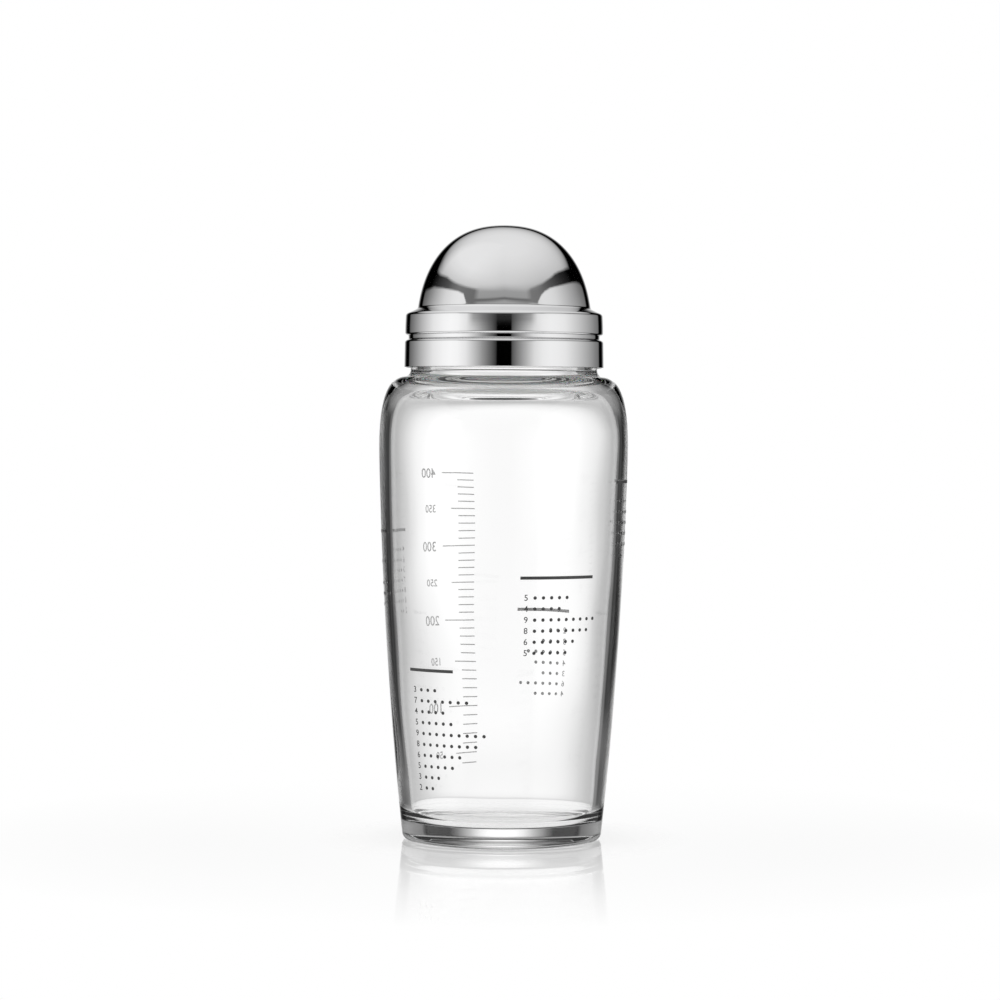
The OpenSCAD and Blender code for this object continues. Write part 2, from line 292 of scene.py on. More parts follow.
def smooth(piece: bpy.types.Object, angle: float = 35) -> bpy.types.Object:
    """Shades a piece smooth except at edges sharper than the angle, and gives it back."""
    pick(piece)
    bpy.ops.object.shade_smooth_by_angle(angle=math.radians(angle))
    deselect()
    return piece


def dress(piece: bpy.types.Object, finish: Finish, body: Body, slot: Slot | None, *nodes: str) -> None:
    """Gives a piece its finish and its place in the frame, and reports it.

    Args:
        piece: The piece.
        finish: Its finish.
        body: The body that it rides on.
        slot: Not used.
        *nodes: The solids that it stands for.
    """
    if not piece.data.materials:
        piece.data.materials.append(finish.material())
    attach(piece, body.value)
    if nodes:
        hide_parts(*nodes)
        ours = [Vector(f(corner[i] for corner in piece.bound_box) for i in range(3)) for f in (min, max)]
        off = max(abs(a - b) for lo_hi, cad in zip(ours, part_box(nodes[0])) for a, b in zip(lo_hi, cad))
        LOG.info("%s on %s: %d points, %.2f mm off its solid's box", piece.name, body.value,
                 len(piece.data.vertices), off / MM)
    else:
        LOG.info("%s on %s: %d points", piece.name, body.value, len(piece.data.vertices))


# finishes


class Shader:
    """The nodes of one material or world, added and linked by short calls."""

    def __init__(self, tree: bpy.types.NodeTree) -> None:
        """Starts from an empty tree."""
        self.tree = tree
        tree.nodes.clear()

    def node(self, kind: str, inputs: Mapping[str | int, Any] | None = None, **settings: Any) -> bpy.types.Node:
        """Adds a node.

        Args:
            kind: The node's type, without its ShaderNode prefix.
            inputs: A value or a socket to link for each input.
            **settings: The node's own settings.

        Returns:
            The node.
        """
        node = self.tree.nodes.new("ShaderNode" + kind)
        for key, value in settings.items():
            setattr(node, key, value)
        for key, value in (inputs or {}).items():
            if isinstance(value, bpy.types.NodeSocket):
                self.tree.links.new(value, node.inputs[key])
            else:
                node.inputs[key].default_value = value
        return node

    def math(self, operation: str, *values: Any, clamp: bool = False) -> bpy.types.NodeSocket:
        """The result of a Math node on values or sockets."""
        node = self.node("Math", dict(enumerate(values)), operation=operation, use_clamp=clamp)
        return node.outputs[0]

    def ramp(self, value: bpy.types.NodeSocket, stops: Stops) -> bpy.types.NodeSocket:
        """Reads a curve of straight stretches.

        Args:
            value: What the curve is read at.
            stops: The curve's points, rising in their first number.

        Returns:
            The curve's second number at the value.
        """
        low, high = stops[0][0], stops[-1][0]
        place = self.node("MapRange", {"Value": value, "From Min": low, "From Max": high}).outputs[0]
        ramp = self.node("ValToRGB", {"Fac": place})
        elements = ramp.color_ramp.elements
        elements.remove(elements[1])
        elements[0].position = 0
        elements[0].color = (stops[0][1],) * 3 + (1,)
        for at, grey in stops[1:]:
            elements.new((at - low) / (high - low)).color = (grey, grey, grey, 1)
        return ramp.outputs["Color"]

    def mix(self, factor: Any, a: Any, b: Any) -> bpy.types.NodeSocket:
        """The mix of two numbers or sockets."""
        node = self.node("Mix", {0: factor, 2: a, 3: b}, data_type="FLOAT")
        return node.outputs[0]

    def noise(self, scale: float, detail: float = 3, stretch: Sequence[float] = (1, 1, 1)) -> bpy.types.NodeSocket:
        """Noise on the piece's own coordinates.

        Args:
            scale: How many lumps to a metre.
            detail: How many finer octaves.
            stretch: How much more often it changes along each axis.

        Returns:
            The noise, from 0 to 1.
        """
        place = self.node("TexCoord").outputs["Object"]
        place = self.node("Mapping", {"Vector": place, "Scale": tuple(stretch)}).outputs[0]
        return self.node("TexNoise", {"Vector": place, "Scale": scale, "Detail": detail}).outputs["Fac"]

    def bump(self, height: bpy.types.NodeSocket, depth: float, strength: float = 1) -> bpy.types.NodeSocket:
        """A bump of that depth in metres."""
        return self.node("Bump", {"Height": height, "Distance": depth, "Strength": strength}).outputs[0]

    def surface(self, shader: bpy.types.NodeSocket) -> None:
        """Ends the tree in its output."""
        kind = "OutputWorld" if self.tree.id_data.id_type == "WORLD" else "OutputMaterial"
        self.tree.links.new(shader, self.node(kind).inputs["Surface"])


@dataclass(frozen=True)
class Finish:
    """A finish with a name, made once."""

    name: str

    def material(self) -> bpy.types.Material:
        """The finish's material, which is made when it is first asked for."""
        made = bpy.data.materials.get(self.name)
        if made is None:
            made = bpy.data.materials.new(self.name)
            made.use_nodes = True
            self.build(Shader(made.node_tree))
        return made

    def build(self, shader: Shader) -> None:
        """Adds the finish's nodes."""
        raise NotImplementedError


@dataclass(frozen=True)
class ClearGlass(Finish):
    """Clear soda glass that is faintly uneven, as pressed and blown glass is."""

    ior: float = 1.5
    shadow: Grey = 0.93

    def build(self, shader: Shader) -> None:
        """Adds the finish's nodes."""
        uneven = shader.noise(60, 2, (1, 1, 0.35))
        glass = shader.node("BsdfPrincipled", {
            "Base Color": (1, 1, 1, 1), "Roughness": 0.0, "IOR": self.ior, "Transmission Weight": 1.0,
            "Normal": shader.bump(uneven, 0.00004),
        })
        clear = shader.node("BsdfTransparent", {"Color": (self.shadow,) * 3 + (1,)})
        path = shader.node("LightPath")
        lit = shader.node("MixShader", {0: path.outputs["Is Shadow Ray"], 1: glass.outputs[0], 2: clear.outputs[0]})
        seen = shader.node("MixShader", {0: path.outputs["Is Diffuse Ray"], 1: lit.outputs[0], 2: clear.outputs[0]})
        shader.surface(seen.outputs[0])


@dataclass(frozen=True)
class PolishedSteel(Finish):
    """Mirror-polished stainless steel with faint rub marks round the axis."""

    grey: Grey = 0.86

    def build(self, shader: Shader) -> None:
        """Adds the finish's nodes."""
        rubbed = shader.noise(90, 4)
        lines = shader.noise(40, 5, (1, 1, 60))
        rough = shader.node("MapRange", {"Value": rubbed, "To Min": 0.02, "To Max": 0.045}).outputs[0]
        steel = shader.node("BsdfPrincipled", {
            "Base Color": (self.grey, self.grey, self.grey * 1.005, 1), "Metallic": 1.0, "Roughness": rough,
            "Normal": shader.bump(lines, 0.000002),
        })
        shader.surface(steel.outputs[0])


@dataclass(frozen=True)
class MouldedPlastic(Finish):
    """White moulded plastic with a fine spark-eroded grain."""

    grey: Grey = 0.86

    def build(self, shader: Shader) -> None:
        """Adds the finish's nodes."""
        grain = shader.noise(2600, 2)
        cloud = shader.noise(55, 3)
        g = self.grey
        colour = shader.node("Mix", {"Factor": cloud, "A": (g, g, g * 0.985, 1), "B": (g * 0.96, g * 0.96, g * 0.94, 1)},
                             data_type="RGBA")
        rough = shader.node("MapRange", {"Value": cloud, "To Min": 0.3, "To Max": 0.42}).outputs[0]
        plastic = shader.node("BsdfPrincipled", {
            "Base Color": colour.outputs["Result"], "Roughness": rough, "IOR": 1.49,
            "Normal": shader.bump(grain, 0.00002),
        })
        shader.surface(plastic.outputs[0])


@dataclass(frozen=True)
class Silicone(Finish):
    """Milky silicone rubber."""

    colour: tuple[Grey, Grey, Grey] = (0.72, 0.75, 0.76)

    def build(self, shader: Shader) -> None:
        """Adds the finish's nodes."""
        bloom = shader.noise(240, 3)
        rough = shader.node("MapRange", {"Value": bloom, "To Min": 0.38, "To Max": 0.6}).outputs[0]
        rubber = shader.node("BsdfPrincipled", {
            "Base Color": self.colour + (1,), "Roughness": rough, "IOR": 1.41,
            "Subsurface Weight": 0.35, "Subsurface Scale": 0.002,
            "Normal": shader.bump(shader.noise(1500, 2), 0.00002),
        })
        shader.surface(rubber.outputs[0])


@dataclass(frozen=True)
class Ink(Finish):
    """Printed ink, a little uneven in its cover."""

    grey: Grey = 0.03

    def build(self, shader: Shader) -> None:
        """Adds the finish's nodes."""
        cover = shader.node("Mix", {
            "Factor": shader.noise(900, 3), "A": (self.grey,) * 3 + (1,), "B": (self.grey * 1.4 + 0.01,) * 3 + (1,),
        }, data_type="RGBA")
        ink = shader.node("BsdfPrincipled", {
            "Base Color": cover.outputs["Result"], "Roughness": 0.5,
            "Normal": shader.bump(shader.noise(4000, 2), 0.000005),
        })
        shader.surface(ink.outputs[0])


GLASS = ClearGlass("glass_clear")
STEEL = PolishedSteel("steel_mirror_polish")
PLASTIC = MouldedPlastic("plastic_moulded_white")
SILICONE = Silicone("silicone_milky")
DARK_INK = Ink("ink_dark")
INK_BACK = Ink("ink_dark_through_the_glass", 0.16)
PALE_INK = Ink("ink_grey", 0.34)


# the shaker


@dataclass(frozen=True)
class Thread:
    """A one-start thread: a ridge that sinks into its wall at both ends."""

    z: float
    start: float
    turns: float
    height: float
    lead: float = 5
    root_w: float = 2.8
    crest_w: float = 1.1
    fade: float = 36

    def lift(self, point: Vector) -> float:
        """How far the ridge stands out at a point of the wall.

        Args:
            point: The point in millimetres.

        Returns:
            The height of the ridge there, which is negative for a thread that stands inwards.
        """
        around = math.degrees(math.atan2(point.y, point.x))
        best = 0.0
        for lap in range(-2, 4):
            angle = around + 360 * lap
            run = min(angle - self.start, self.start + 360 * self.turns - angle)
            if run <= 0:
                continue
            off = abs(point.z - self.z - self.lead * angle / 360)
            share = (self.root_w / 2 - off) / ((self.root_w - self.crest_w) / 2)
            share = max(0.0, min(1.0, share)) * min(1.0, run / self.fade)
            best = max(best, share * share * (3 - 2 * share))
        return best * self.height


@dataclass
class GlassBottle:
    """The bottle: heel, bowed side, shoulder, bead and threaded neck, in millimetres."""

    base_r: float = 32.3
    shoulder_r: float = 40.5
    shoulder_z: float = 120
    shoulder_top: float = 150.6
    shoulder_power: float = 3
    side_bow: float = 1500
    wall: float = 3.7
    floor_t: float = 6.4
    floor_crown: float = 1
    floor_fillet: float = 5
    heel_round: float = 2
    foot_w: float = 5.3
    punt_h: float = 1.6
    bead_r: float = 30.5
    bead_h: float = 3.2
    bead_fillet: float = 2.2
    neck_r: float = 27.5
    neck_wall: float = 3.5
    rim_round: float = 0.8
    throat_round: float = 4
    past_corner: float = 1.2
    flow: float = 0.16
    thread: Thread = Thread(157.35, 0, 1.25, 1.2)
    rim_z: float = field(init=False)

    def __post_init__(self) -> None:
        """Takes the height of the rim from the frame."""
        self.rim_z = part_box("glass_bottle")[1][2] / MM

    def side_radius(self, z: float) -> float:
        """The radius of the outer side at a height."""
        chord = Vector((self.shoulder_r - self.base_r, self.shoulder_z))
        reach = math.sqrt(self.side_bow ** 2 - (chord.length / 2) ** 2)
        hub = Vector((self.base_r, 0)) + chord / 2 + left_of(chord.normalized()) * reach
        return hub.x + math.sqrt(self.side_bow ** 2 - (z - hub.y) ** 2)

    def side(self, z: float, inside: float, steps: int = 30) -> list[Corner]:
        """The side from a height up to the shoulder, as the face that lies that far inside the outer one."""
        heights = [z + (self.shoulder_z - z) * i / steps for i in range(steps + 1)]
        return [Corner(self.side_radius(h) - inside, h) for h in heights]

    def shoulder(self, end_r: float, inside: float, steps: int = 34) -> list[Corner]:
        """The shoulder of the same face, which closes towards a radius."""
        drawn = []
        for i in range(1, steps):
            turn = math.pi / 2 * i / steps
            rise = self.shoulder_top - inside - self.shoulder_z
            z = self.shoulder_z + rise * math.sin(turn) ** (2 / self.shoulder_power)
            reach = self.side_radius(z) - inside - end_r
            drawn.append(Corner(end_r + reach * math.cos(turn) ** (2 / self.shoulder_power), z))
        return drawn

    def outline(self) -> list[Vector]:
        """The bottle's outline, from the middle of the foot round the rim to the middle of the floor."""
        foot_in_r = self.base_r - self.foot_w
        bore_r = self.neck_r - self.neck_wall
        bead_z = self.shoulder_top + self.bead_h
        fillet_end = self.bead_r + self.past_corner * self.bead_fillet
        floor_end = self.floor_t + self.past_corner * self.floor_fillet
        rows = 44
        neck = [Corner(self.neck_r, bead_z + (self.rim_z - self.rim_round * 1.2 - bead_z) * i / rows)
                for i in range(1, rows + 1)]
        outside = [
            *bow(foot_in_r, 0, self.punt_h)[:-1], Corner(foot_in_r, 0, 0.6),
            Corner(self.side_radius(0), 0, self.heel_round), *self.side(self.past_corner * self.heel_round, 0),
            *[q for q in self.shoulder(self.bead_r, 0) if q.r > fillet_end],
            Corner(self.bead_r, self.shoulder_top, self.bead_fillet), Corner(self.bead_r, bead_z, 0.5),
            Corner(self.neck_r, bead_z, 0.1), *neck,
            Corner(self.neck_r, self.rim_z, self.rim_round), Corner(bore_r, self.rim_z, self.rim_round),
        ]
        inside = [
            *bow(foot_in_r - self.floor_fillet, self.floor_t, self.floor_crown),
            Corner(self.side_radius(self.floor_t) - self.wall, self.floor_t, self.floor_fillet),
            *self.side(floor_end, self.wall), *self.shoulder(bore_r + self.throat_round, self.wall),
            Corner(bore_r, self.shoulder_top - self.wall, self.throat_round),
        ]
        return rounded(outside + inside[::-1])

    def shaped(self, point: Vector) -> Vector:
        """Raises the thread on the neck, and lets the inner face flow as blown glass does.

        Args:
            point: A point of the turned bottle in millimetres.

        Returns:
            Its new place.
        """
        r = math.hypot(point.x, point.y)
        bead_z = self.shoulder_top + self.bead_h
        if point.z > bead_z + 0.2:
            out = self.thread.lift(point) if abs(r - self.neck_r) < 0.02 else 0.0
        elif r < self.side_radius(point.z) - self.wall + 0.5 and self.floor_t + 8 < point.z < self.shoulder_top - 8:
            ease = min(1.0, (point.z - self.floor_t - 8) / 10, (self.shoulder_top - 8 - point.z) / 10)
            wave = noise.noise(Vector((point.x / 26, point.y / 26, point.z / 34)))
            out = self.flow * ease * wave * 2
        else:
            out = 0.0
        return point * 1 if not out else Vector((point.x * (1 + out / r), point.y * (1 + out / r), point.z))

    def fill_heights(self, step: float, top: float, slice_h: float = 0.05) -> list[float]:
        """Fills the bottle in thin slices, with its floor's corner counted.

        Args:
            step: The millilitres between two marks.
            top: The millilitres of the last mark.
            slice_h: The height of a slice.

        Returns:
            The heights of the marks.
        """
        z = self.floor_t + self.floor_crown / 2
        marks, filled = [], 0.0
        while filled < top:
            over = max(0.0, self.floor_fillet - (z - self.floor_t))
            pulled = self.floor_fillet - math.sqrt(max(0.0, self.floor_fillet ** 2 - over ** 2))
            filled += math.pi * (self.side_radius(z) - self.wall - pulled) ** 2 * slice_h / 1000
            z += slice_h
            if filled >= step * (len(marks) + 1):
                marks.append(z)
        return marks

    def build(self) -> bpy.types.Object:
        """Models the bottle and gives it its finish."""
        piece = turned("glass_bottle_blown", self.outline(), 288)
        press(piece, self.shaped)
        smooth(piece)
        dress(piece, GLASS, Body.BOTTLE, Slot.GLASS, "glass_bottle")
        return piece


@dataclass
class Print:
    """What is printed on the outside of the glass: flat shapes in millimetres that are then laid on the side."""

    bottle: GlassBottle
    name: str
    azimuth: float
    z: float
    shapes: list[bpy.types.Object] = field(default_factory=list)
    ink_t: float = 0.03
    lift: float = 0.012
    strip: float = 1.2

    def bar(self, x: float, y: float, width: float, height: float) -> None:
        """Adds a bar whose lower left corner is at x, y."""
        deselect()
        bpy.ops.mesh.primitive_plane_add(size=1, location=(x + width / 2, y + height / 2, 0))
        bpy.ops.object.mode_set(mode="EDIT")
        bpy.ops.transform.resize(value=(width, height, 1), center_override=(x + width / 2, y + height / 2, 0))
        self.shapes.append(bpy.context.object)
        deselect()

    def dot(self, x: float, y: float, radius: float) -> None:
        """Adds a round dot about x, y."""
        deselect()
        bpy.ops.mesh.primitive_circle_add(vertices=20, radius=radius, fill_type="NGON", location=(x, y, 0))
        self.shapes.append(bpy.context.object)

    def number(self, text: str, x: float, y: float, height: float, align: str = "LEFT", weight: float = 0.0) -> None:
        """Adds a plain number.

        Args:
            text: The digits.
            x: Where the number starts or, aligned right, ends.
            y: Its foot.
            height: The height of its digits.
            align: LEFT or RIGHT.
            weight: How much its strokes are thickened.
        """
        deselect()
        bpy.ops.object.text_add(location=(x, y, 0))
        written = bpy.context.object
        written.data.body = text
        written.data.size = height / 0.73
        written.data.align_x = align
        written.data.resolution_u = 3
        written.data.offset = weight
        bpy.ops.object.convert(target="MESH")
        self.shapes.append(bpy.context.object)

    def laid(self, point: Vector) -> Vector:
        """Where a point of the flat drawing comes to lie on the glass."""
        z = self.z + point.y
        turn = math.radians(self.azimuth) + point.x / self.bottle.side_radius(self.z)
        r = self.bottle.side_radius(z) + self.lift + point.z
        return Vector((r * math.sin(turn), -r * math.cos(turn), z))

    def build(self, front: Ink, back: Ink) -> bpy.types.Object:
        """Joins the shapes, thickens them to a film of ink and lays it on the glass.

        Args:
            front: The ink as it looks from outside.
            back: The ink as it looks through the glass.

        Returns:
            The piece.
        """
        deselect()
        for shape in self.shapes:
            shape.select_set(True)
        bpy.context.view_layer.objects.active = self.shapes[0]
        bpy.ops.object.transform_apply(location=True, rotation=True, scale=True)
        bpy.ops.object.join()
        piece = name_it(bpy.context.object, self.name)
        across = [v.co.x for v in piece.data.vertices]
        bpy.ops.object.mode_set(mode="EDIT")
        at = min(across) + self.strip
        while at < max(across):
            bpy.ops.mesh.select_all(action="SELECT")
            bpy.ops.mesh.bisect(plane_co=(at, 0, 0), plane_no=(1, 0, 0))
            at += self.strip
        bpy.ops.mesh.select_all(action="SELECT")
        bpy.ops.mesh.remove_doubles(threshold=0.0005)
        bpy.ops.object.mode_set(mode="OBJECT")
        film = piece.modifiers.new("film", "SOLIDIFY")
        film.thickness, film.offset = self.ink_t, 1
        bpy.ops.object.modifier_apply(modifier="film")
        for v in piece.data.vertices:
            v.co = self.laid(v.co) * MM
        bpy.ops.object.mode_set(mode="EDIT")
        bpy.ops.mesh.select_all(action="SELECT")
        bpy.ops.mesh.normals_make_consistent(inside=False)
        bpy.ops.object.mode_set(mode="OBJECT")
        piece.data.materials.append(front.material())
        piece.data.materials.append(back.material())
        for face in piece.data.polygons:
            face.material_index = int(face.normal.dot(Vector((face.center.x, face.center.y, 0)).normalized()) < -0.5)
        deselect()
        dress(piece, front, Body.BOTTLE, None)
        return piece


@dataclass
class Graduation:
    """The measuring scale on the back of the bottle."""

    bottle: GlassBottle
    azimuth: float = 195
    first: int = 40
    top: int = 400
    step: int = 10
    short: float = 5.8
    middle: float = 8.5
    long: float = 12
    line: float = 0.34
    number_x: float = 14.8
    large: float = 3.4
    small: float = 2.6
    weight: float = 0.03

    def build(self) -> bpy.types.Object:
        """Draws the lines and numbers and lays them on the glass."""
        scale = Print(self.bottle, "graduation_print", self.azimuth, 60)
        for i, z in enumerate(self.bottle.fill_heights(self.step, self.top), 1):
            millilitres, y = i * self.step, z - scale.z
            if millilitres < self.first:
                continue
            length = self.long if millilitres % 100 == 0 else self.middle if millilitres % 50 == 0 else self.short
            scale.bar(0, y - self.line / 2, length, self.line)
            if millilitres % 50 == 0:
                height = self.large if millilitres % 100 == 0 else self.small
                scale.number(str(millilitres), self.number_x, y - height / 2, height, weight=self.weight)
        return scale.build(PALE_INK, PALE_INK)


@dataclass(frozen=True)
class Chart:
    """A mixing chart: a rule over rows of a number and as many dots."""

    azimuth: float
    z: float
    rule: float
    rows: tuple[int, ...]
    pitch: float = 3.5
    height: float = 2.0
    rule_t: float = 1.0
    dot_r: float = 0.56
    dot_pitch: float = 2.75

    def build(self, bottle: GlassBottle, name: str) -> bpy.types.Object:
        """Draws the chart and lays it on the glass.

        Args:
            bottle: The bottle.
            name: The name of the piece.

        Returns:
            The piece.
        """
        top = self.z + self.pitch * (len(self.rows) + 0.9)
        chart = Print(bottle, name, self.azimuth, (self.z + top) / 2)
        chart.bar(0, top - chart.z, self.rule, self.rule_t)
        for i, count in enumerate(self.rows):
            y = self.z + self.pitch * (len(self.rows) - 1 - i) - chart.z
            chart.number(str(count), 2.6, y, self.height, "RIGHT", 0.02)
            for k in range(count):
                chart.dot(4.8 + self.dot_pitch * k, y + self.height * 0.42, self.dot_r)
        return chart.build(DARK_INK, INK_BACK)


@dataclass
class Closure:
    """The sizes that the pieces of the closure share, in millimetres."""

    sheet_t: float = 0.5
    spigot_r: float = 31.25
    spigot_round: float = 0.8
    deck_t: float = 1.45
    deck_hole_r: float = 22.2
    neck_r: float = 27.5
    bore_r: float = 24
    flange_r: float = 28.05
    seat_gap: float = 0.3
    edge: float = 0.3
    rim_z: float = field(init=False)
    flange_z: float = field(init=False)
    band_z: float = field(init=False)
    seat_z: float = field(init=False)
    spout_top_z: float = field(init=False)

    def __post_init__(self) -> None:
        """Takes the heights of the stack from the frame."""
        self.rim_z, self.flange_z = (corner[2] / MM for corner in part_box("neck_gasket"))
        self.band_z, self.seat_z = (corner[2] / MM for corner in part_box("collar_shell"))
        self.spout_top_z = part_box("pour_spout")[1][2] / MM

    @property
    def deck_top_z(self) -> float:
        """The top of the core's deck, under the steel."""
        return self.seat_z - self.sheet_t

    @property
    def deck_z(self) -> float:
        """The underside of the core's deck."""
        return self.deck_top_z - self.deck_t


@dataclass
class Pourer:
    """The gasket on the glass rim and the pouring spout that is clamped over it."""

    closure: Closure
    gasket_inset: float = 0.6
    skirt_h: float = 3.4
    skirt_gap: float = 0.4
    wall: float = 1.5
    tube_r: float = 12
    cone_h: float = 5.8
    cone_round: float = 4
    lip_w: float = 1.8
    lip_round: float = 1.2

    def gasket(self) -> bpy.types.Object:
        """The flat ring on the glass rim."""
        c = self.closure
        in_r, out_r, bend = c.bore_r + self.gasket_inset, c.neck_r - c.seat_gap, (c.flange_z - c.rim_z) / 5
        ring = [Corner(in_r, c.rim_z, bend), Corner(out_r, c.rim_z, bend),
                Corner(out_r, c.flange_z, bend), Corner(in_r, c.flange_z, bend)]
        return smooth(turned("neck_gasket_ring", rounded(ring), 160))

    def spout(self) -> bpy.types.Object:
        """The skirt in the mouth, the flange, the cone, the tube and the drip lip."""
        c = self.closure
        skirt_r, skirt_z = c.bore_r - self.skirt_gap, c.flange_z - self.skirt_h
        cone_r, cone_z = c.deck_hole_r - 4 * c.seat_gap, c.deck_z + self.cone_h
        lip_z, top_z, in_r = c.spout_top_z - self.lip_w, c.spout_top_z, self.tube_r - self.wall
        return smooth(turned("pour_spout_moulding", rounded([
            Corner(skirt_r, skirt_z, c.edge), Corner(skirt_r, c.flange_z, 0.15),
            Corner(c.flange_r, c.flange_z, c.edge), Corner(c.flange_r, c.deck_z, c.edge),
            Corner(cone_r, c.deck_z, c.edge), Corner(self.tube_r, cone_z, self.cone_round),
            Corner(self.tube_r, lip_z, self.lip_round), Corner(self.tube_r + self.lip_w, top_z, c.edge),
            Corner(self.tube_r + self.lip_w / 4, top_z, c.edge), Corner(in_r, lip_z, self.lip_round),
            Corner(in_r, cone_z - self.wall, self.cone_round),
            Corner(cone_r - self.wall, c.deck_z - self.wall, self.cone_round / 2),
            Corner(skirt_r - self.wall, c.flange_z - self.wall, self.wall / 2),
            Corner(skirt_r - self.wall, skirt_z, c.edge),
        ]), 160))

    def build(self) -> None:
        """Models the gasket and the spout and gives them their finishes."""
        dress(self.gasket(), SILICONE, Body.POURER, Slot.SILICONE, "neck_gasket")
        dress(self.spout(), PLASTIC, Body.POURER, Slot.PLASTIC, "pour_spout")


@dataclass
class Collar:
    """The screwed collar: a moulded core with the thread, inside a drawn steel shell."""

    closure: Closure
    band_h: float = 9
    band_r: float = 32.45
    band_draft: float = 0.15
    band_round: float = 1
    bend: float = 0.4
    lip_w: float = 2.64
    core_r: float = 31.85
    core_bore_r: float = 28.95
    core_pocket_r: float = 28.35
    core_recess: float = 0.8
    core_gap: float = 0.1
    thread: Thread = Thread(155.15, 68.4, 1, -1.2)

    def core(self) -> bpy.types.Object:
        """The moulded ring with the threaded bore, the pocket for the flange and the deck."""
        c = self.closure
        core_z, step_z = c.band_z + self.core_recess, c.band_z + self.band_h - c.sheet_t - self.core_gap
        pocket_z, high_r = c.rim_z - 0.7, c.spigot_r - c.sheet_t - self.core_gap
        rows = 56
        bore = [Corner(self.core_bore_r, pocket_z + (core_z + 0.4 - pocket_z) * i / rows) for i in range(1, rows)]
        piece = turned("collar_core_moulding", rounded([
            Corner(self.core_bore_r, core_z, c.edge), Corner(self.core_r, core_z, c.edge),
            Corner(self.core_r, step_z, self.bend), Corner(high_r, step_z, self.bend + c.sheet_t + self.core_gap),
            Corner(high_r, c.deck_top_z, c.spigot_round), Corner(c.deck_hole_r, c.deck_top_z, c.edge),
            Corner(c.deck_hole_r, c.deck_z, c.edge), Corner(self.core_pocket_r, c.deck_z),
            Corner(self.core_pocket_r, pocket_z), Corner(self.core_bore_r, pocket_z), *bore,
        ]), 224)

        def cut(point: Vector) -> Vector:
            """Raises the thread in the bore."""
            r = math.hypot(point.x, point.y)
            if abs(r - self.core_bore_r) > 0.02 or not core_z + 0.3 < point.z < pocket_z - 0.05:
                return point
            share = 1 + self.thread.lift(point) / r
            return Vector((point.x * share, point.y * share, point.z))

        press(piece, cut)
        return smooth(piece)

    def shell(self) -> bpy.types.Object:
        """The drawn steel: a cut lower edge, the band, the step and the spigot with its lip."""
        c = self.closure
        band_top = c.band_z + self.band_h
        return smooth(turned("collar_shell_drawn", rounded(sheet_ring([
            Corner(self.band_r + self.band_draft, c.band_z), Corner(self.band_r, band_top, self.band_round),
            Corner(c.spigot_r, band_top, self.bend), Corner(c.spigot_r, c.seat_z, c.spigot_round),
            Corner(c.spigot_r - self.lip_w, c.seat_z),
        ], c.sheet_t))))

    def build(self) -> None:
        """Models the core and the shell and gives them their finishes."""
        dress(self.core(), PLASTIC, Body.COLLAR, Slot.PLASTIC, "collar_core")
        dress(self.shell(), STEEL, Body.COLLAR, Slot.STEEL, "collar_shell")


